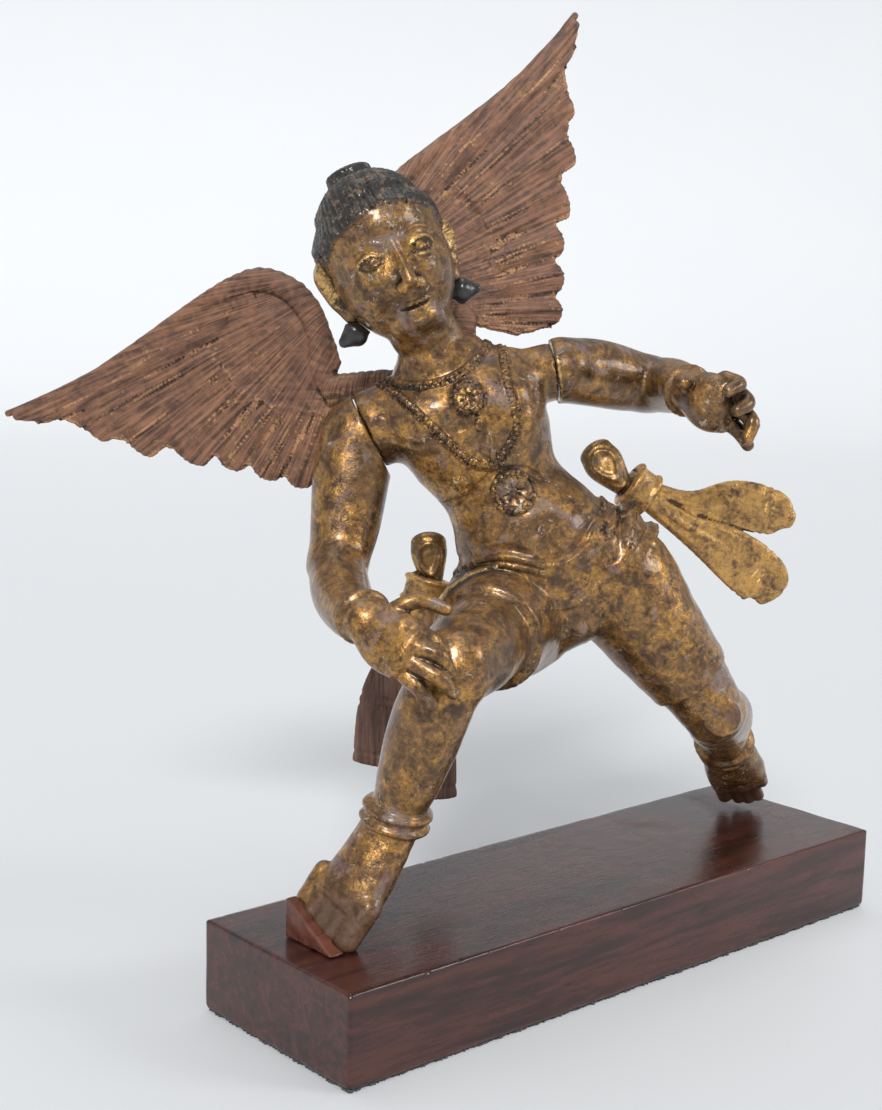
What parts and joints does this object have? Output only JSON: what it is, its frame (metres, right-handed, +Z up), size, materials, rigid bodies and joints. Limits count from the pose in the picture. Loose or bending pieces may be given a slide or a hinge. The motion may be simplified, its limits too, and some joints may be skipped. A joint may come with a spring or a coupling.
{
  "type": "angel figure",
  "caption": "Carved and gilded wooden angel with spread wings and hip sashes, striding barefoot over a hardwood plinth.",
  "frame": {"origin": "middle of the underside of the felt pad under the plinth", "axes": "+Z up; the plinth's long side along X, the figure strides towards -X and its chest turns towards -Y"},
  "size_m": [0.4197, 0.3504, 0.5357],
  "materials": {
    "plinth_wood": "polished dark red-brown hardwood with a satin varnish",
    "felt": "black felt",
    "wedge_wood": "polished red-brown hardwood, a little dusty",
    "gilded_wood": "carved wood with worn gold leaf over dark varnish and red ground, glossy, flecked with bare gesso",
    "wing_paint": "carved wood with thin worn copper-brown paint, satin",
    "bare_wood": "carved wood, gilded at the bow and bare brown at the tails",
    "black_paint": "glossy black paint"
  },
  "bodies": {
    "root": {"plinth": "plinth_wood", "felt_pad": "felt", "foot_wedge": "wedge_wood", "figure": "gilded_wood", "arm_right": "gilded_wood", "arm_left": "gilded_wood", "wing_right": "wing_paint", "wing_left": "wing_paint", "sash_left": "gilded_wood", "sash_right": "bare_wood", "earring_right": "black_paint", "earring_left": "black_paint"}
  },
  "joints": []
}
